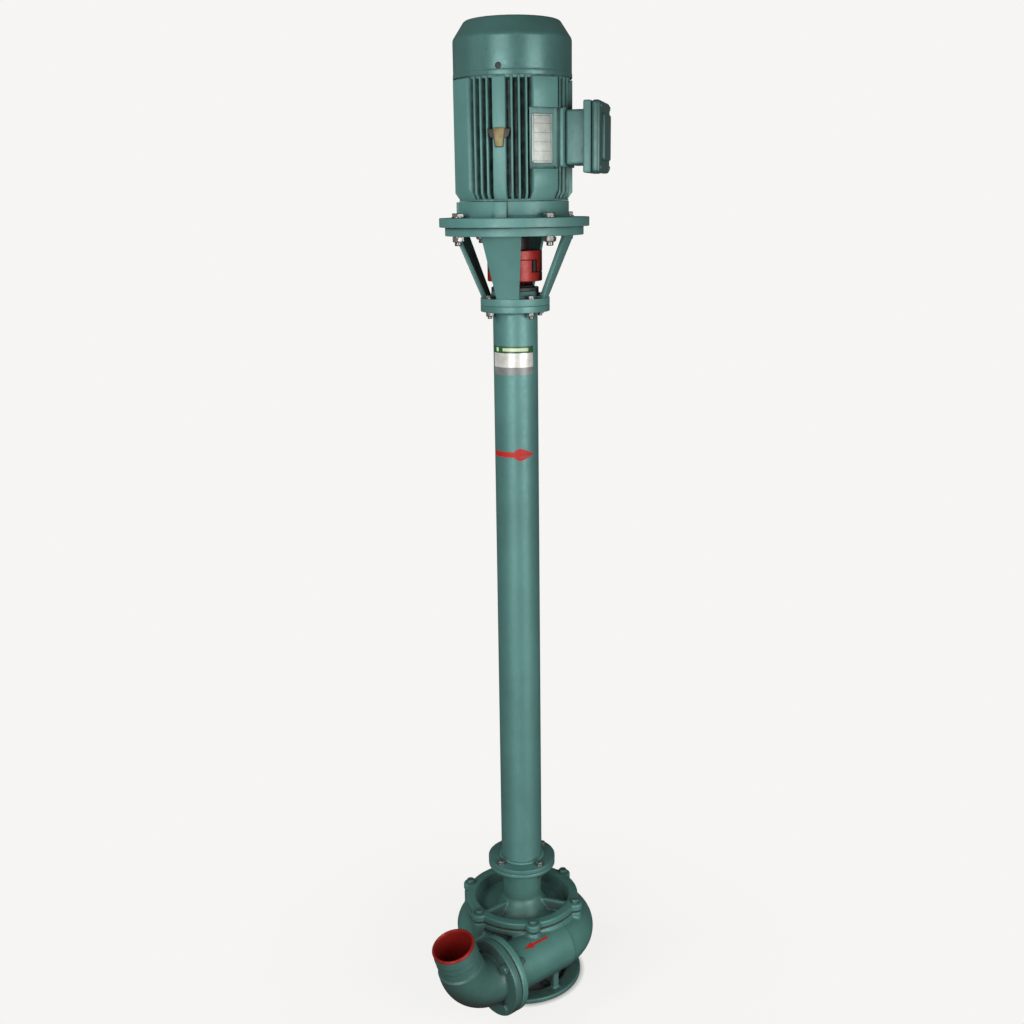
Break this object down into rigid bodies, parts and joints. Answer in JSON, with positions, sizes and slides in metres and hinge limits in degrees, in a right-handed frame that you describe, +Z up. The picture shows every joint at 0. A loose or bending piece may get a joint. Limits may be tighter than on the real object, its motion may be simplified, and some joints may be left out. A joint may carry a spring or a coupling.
{
  "type": "pedestal sump pump",
  "caption": "Vertical pedestal sump pump: a finned flange motor on a lantern, a long column pipe, and a volute pump on a strainer foot with an upturned discharge elbow.",
  "frame": {"origin": "on the shaft's axis, in the plane that the strainer foot stands on", "axes": "+Z up along the shaft to the motor's fan end; +X towards the motor's terminal box; -Y is the motor's front"},
  "size_m": [0.2845, 0.418, 1.7395],
  "materials": {
    "green_paint": "satin teal-green enamel on cast iron and steel",
    "red_paint": "satin red enamel",
    "zinc_steel": "zinc-plated",
    "bright_steel": "ground shaft steel",
    "bearing_steel": "ground and polished",
    "core_steel": "laminated electrical steel",
    "copper_enamel": "varnished copper winding",
    "cast_iron": "bare casting",
    "bronze": "machined bronze",
    "rubber": "matt black rubber",
    "gasket": "dark fibre sheet",
    "black_plastic": "moulded black plastic",
    "plate_metal": "satin aluminium plate, blank"
  },
  "bodies": {
    "frame": {"fan_cowl": "green_paint", "upper_end_shield": "green_paint", "motor_frame": "green_paint", "stator_core": "core_steel", "upper_winding": "copper_enamel", "lower_winding": "copper_enamel", "upper_motor_bearing_outer": "bearing_steel", "lower_motor_bearing_outer": "bearing_steel", "motor_flange": "green_paint", "terminal_box": "green_paint", "terminal_box_lid": "green_paint", "terminal_board": "black_plastic", "cable_gland": "black_plastic", "motor_nameplate": "plate_metal", "lantern": "green_paint", "bearing_cap": "cast_iron", "column_bearing_outer": "bearing_steel", "column_pipe": "green_paint", "lower_bush": "bronze", "shaft_seal": "rubber", "pump_cover": "green_paint", "cover_gasket": "gasket", "volute_casing": "green_paint", "suction_base": "green_paint", "discharge_gasket": "gasket", "discharge_elbow": "green_paint", "motor_flange_bolt_1": "zinc_steel", "motor_flange_bolt_2": "zinc_steel", "motor_flange_bolt_3": "zinc_steel", "motor_flange_bolt_4": "zinc_steel", "column_top_bolt_1": "zinc_steel", "column_top_bolt_2": "zinc_steel", "column_top_bolt_3": "zinc_steel", "column_top_bolt_4": "zinc_steel", "column_foot_bolt_1": "zinc_steel", "column_foot_bolt_2": "zinc_steel", "column_foot_bolt_3": "zinc_steel", "column_foot_bolt_4": "zinc_steel", "cover_bolt_1": "green_paint", "cover_bolt_2": "green_paint", "cover_bolt_3": "green_paint", "cover_bolt_4": "green_paint", "cover_bolt_5": "green_paint", "cover_bolt_6": "green_paint", "discharge_bolt_1": "green_paint", "discharge_bolt_2": "green_paint", "discharge_bolt_3": "green_paint", "discharge_bolt_4": "green_paint"},
    "rotor": {"motor_shaft": "bright_steel", "rotor_core": "core_steel", "cooling_fan": "black_plastic", "coupling_upper_half": "red_paint", "coupling_lower_half": "red_paint", "coupling_spider": "rubber", "pump_shaft": "bright_steel", "impeller": "cast_iron", "impeller_nut": "bright_steel", "upper_motor_bearing_inner": "bearing_steel", "lower_motor_bearing_inner": "bearing_steel", "column_bearing_inner": "bearing_steel"}
  },
  "joints": [
    {"name": "rotor_spin", "type": "hinge", "parent": "frame", "child": "rotor", "pos_m": [0, 0, 1], "axis": [0, 0, 1], "continuous": true}
  ]
}
